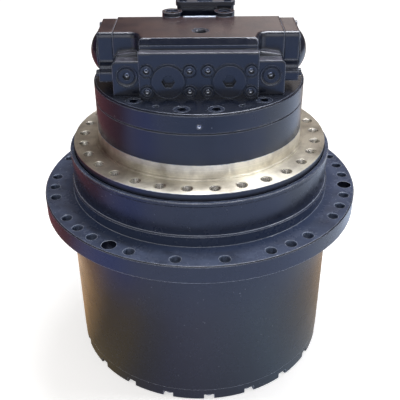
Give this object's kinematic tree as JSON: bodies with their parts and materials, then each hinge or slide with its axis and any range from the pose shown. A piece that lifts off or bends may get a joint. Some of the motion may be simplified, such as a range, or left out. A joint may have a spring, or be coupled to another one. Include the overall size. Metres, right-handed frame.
{
  "type": "excavator final drive",
  "caption": "Planetary track drive with a hydraulic motor: a flanged gear housing that turns on a fixed spindle, under a bare mounting flange and a ported valve block.",
  "frame": {"origin": "centre of the bare frame-mounting face, where the drive bolts to the track frame", "axes": "+Z along the drive axis towards the motor and valve block; the ports face -Y; +X to the right seen from the ports"},
  "size_m": [0.6, 0.5998, 0.6882],
  "materials": {
    "black_painted_casting": "semi-gloss black paint",
    "black_painted_steel": "semi-gloss black paint",
    "zinc_steel": "dull steel",
    "bearing_steel": "ground steel",
    "case_hardened_steel": "machined steel",
    "carrier_iron": "machined cast iron",
    "spring_steel": "oiled steel",
    "bronze": "machined bronze",
    "seal_iron": "lapped iron",
    "seal_rubber": "matte rubber",
    "friction_lining": "sintered lining"
  },
  "bodies": {
    "frame_side": {"bearing_inner_races": "bearing_steel", "brake_springs": "spring_steel", "brake_steel_plates": "spring_steel", "cover_plate_bolts": "black_painted_steel", "end_cover_bolts": "black_painted_steel", "end_covers": "black_painted_casting", "fixed_seal_ring": "seal_iron", "fixed_seal_rubber": "seal_rubber", "motor_cover_plate": "black_painted_casting", "port_plugs": "black_painted_steel", "port_screws": "black_painted_steel", "rear_cover_screws": "black_painted_steel", "rear_valve_body": "black_painted_casting", "rear_valve_cover": "black_painted_steel", "ring_nut": "case_hardened_steel", "second_carrier": "carrier_iron", "second_planet_bearings": "bearing_steel", "second_planet_pins": "case_hardened_steel", "second_planet_washers": "bronze", "shaft_bearings": "bearing_steel", "small_plugs": "black_painted_steel", "spindle": "black_painted_casting", "spool_caps": "black_painted_casting", "spool_springs": "spring_steel", "swash_plate": "case_hardened_steel", "top_plug": "black_painted_steel", "valve_block": "black_painted_casting", "valve_plate": "bronze"},
    "hub": {"gear_housing": "black_painted_casting", "gear_cover": "black_painted_casting", "gear_cover_bolts": "zinc_steel", "oil_plugs": "zinc_steel", "bearing_outer_races": "bearing_steel", "turning_seal_ring": "seal_iron", "turning_seal_rubber": "seal_rubber", "thrust_plate": "bronze", "thrust_button": "case_hardened_steel"},
    "first_carrier": {"first_carrier": "carrier_iron", "first_planet_pins": "case_hardened_steel", "first_planet_bearings": "bearing_steel", "first_planet_washers": "bronze", "second_sun_gear": "case_hardened_steel"},
    "input_shaft": {"first_sun_gear": "case_hardened_steel", "coupling_sleeve": "case_hardened_steel", "motor_shaft": "case_hardened_steel", "cylinder_block": "case_hardened_steel", "pistons": "case_hardened_steel", "retainer_plate": "bronze", "brake_friction_discs": "friction_lining"},
    "upper_rollers": {"upper_rollers": "bearing_steel"},
    "lower_rollers": {"lower_rollers": "bearing_steel"},
    "brake_piston": {"brake_piston": "case_hardened_steel"},
    "counterbalance_spool": {"counterbalance_spool": "case_hardened_steel"},
    "first_planet_1": {"first_planet_1": "case_hardened_steel"},
    "first_planet_2": {"first_planet_2": "case_hardened_steel"},
    "first_planet_3": {"first_planet_3": "case_hardened_steel"},
    "second_planet_1": {"second_planet_1": "case_hardened_steel"},
    "second_planet_2": {"second_planet_2": "case_hardened_steel"},
    "second_planet_3": {"second_planet_3": "case_hardened_steel"},
    "second_planet_4": {"second_planet_4": "case_hardened_steel"}
  },
  "joints": [
    {"name": "hub_spin", "type": "hinge", "parent": "frame_side", "child": "hub", "pos_m": [0, 0, -0.2], "axis": [0, 0, 1], "continuous": true},
    {"name": "first_carrier_spin", "type": "hinge", "parent": "frame_side", "child": "first_carrier", "pos_m": [0, 0, -0.3], "axis": [0, 0, 1], "continuous": true},
    {"name": "input_shaft_spin", "type": "hinge", "parent": "frame_side", "child": "input_shaft", "pos_m": [0, 0, 0], "axis": [0, 0, 1], "continuous": true},
    {"name": "upper_rollers_spin", "type": "hinge", "parent": "frame_side", "child": "upper_rollers", "pos_m": [0, 0, -0.093], "axis": [0, 0, 1], "continuous": true},
    {"name": "lower_rollers_spin", "type": "hinge", "parent": "frame_side", "child": "lower_rollers", "pos_m": [0, 0, -0.173], "axis": [0, 0, 1], "continuous": true},
    {"name": "brake_release", "type": "slide", "parent": "frame_side", "child": "brake_piston", "axis": [0, 0, 1], "range_m": [0, 0.0025], "deforming": ["brake_springs"]},
    {"name": "spool_slide", "type": "slide", "parent": "frame_side", "child": "counterbalance_spool", "axis": [1, 0, 0], "range_m": [-0.006, 0.006], "stiffness_N_per_m": 400},
    {"name": "first_planet_1_spin", "type": "hinge", "parent": "first_carrier", "child": "first_planet_1", "pos_m": [0.126, 0, 0], "axis": [0, 0, 1], "continuous": true},
    {"name": "first_planet_2_spin", "type": "hinge", "parent": "first_carrier", "child": "first_planet_2", "pos_m": [-0.063, 0.10912, 0], "axis": [0, 0, 1], "continuous": true},
    {"name": "first_planet_3_spin", "type": "hinge", "parent": "first_carrier", "child": "first_planet_3", "pos_m": [-0.063, -0.10912, 0], "axis": [0, 0, 1], "continuous": true},
    {"name": "second_planet_1_spin", "type": "hinge", "parent": "frame_side", "child": "second_planet_1", "pos_m": [0.133, 0, 0], "axis": [0, 0, 1], "continuous": true},
    {"name": "second_planet_2_spin", "type": "hinge", "parent": "frame_side", "child": "second_planet_2", "pos_m": [0, 0.133, 0], "axis": [0, 0, 1], "continuous": true},
    {"name": "second_planet_3_spin", "type": "hinge", "parent": "frame_side", "child": "second_planet_3", "pos_m": [-0.133, 0, 0], "axis": [0, 0, 1], "continuous": true},
    {"name": "second_planet_4_spin", "type": "hinge", "parent": "frame_side", "child": "second_planet_4", "pos_m": [0, -0.133, 0], "axis": [0, 0, 1], "continuous": true}
  ],
  "couplings": [
    {"joint": "first_carrier_spin", "follows": "hub_spin", "ratio": -3.75},
    {"joint": "input_shaft_spin", "follows": "hub_spin", "ratio": -27.5},
    {"joint": "upper_rollers_spin", "follows": "hub_spin", "ratio": 0.519},
    {"joint": "lower_rollers_spin", "follows": "hub_spin", "ratio": 0.519},
    {"joint": "first_planet_1_spin", "follows": "hub_spin", "ratio": 11.875},
    {"joint": "first_planet_2_spin", "follows": "hub_spin", "ratio": 11.875},
    {"joint": "first_planet_3_spin", "follows": "hub_spin", "ratio": 11.875},
    {"joint": "second_planet_1_spin", "follows": "hub_spin", "ratio": 2.7273},
    {"joint": "second_planet_2_spin", "follows": "hub_spin", "ratio": 2.7273},
    {"joint": "second_planet_3_spin", "follows": "hub_spin", "ratio": 2.7273},
    {"joint": "second_planet_4_spin", "follows": "hub_spin", "ratio": 2.7273}
  ]
}
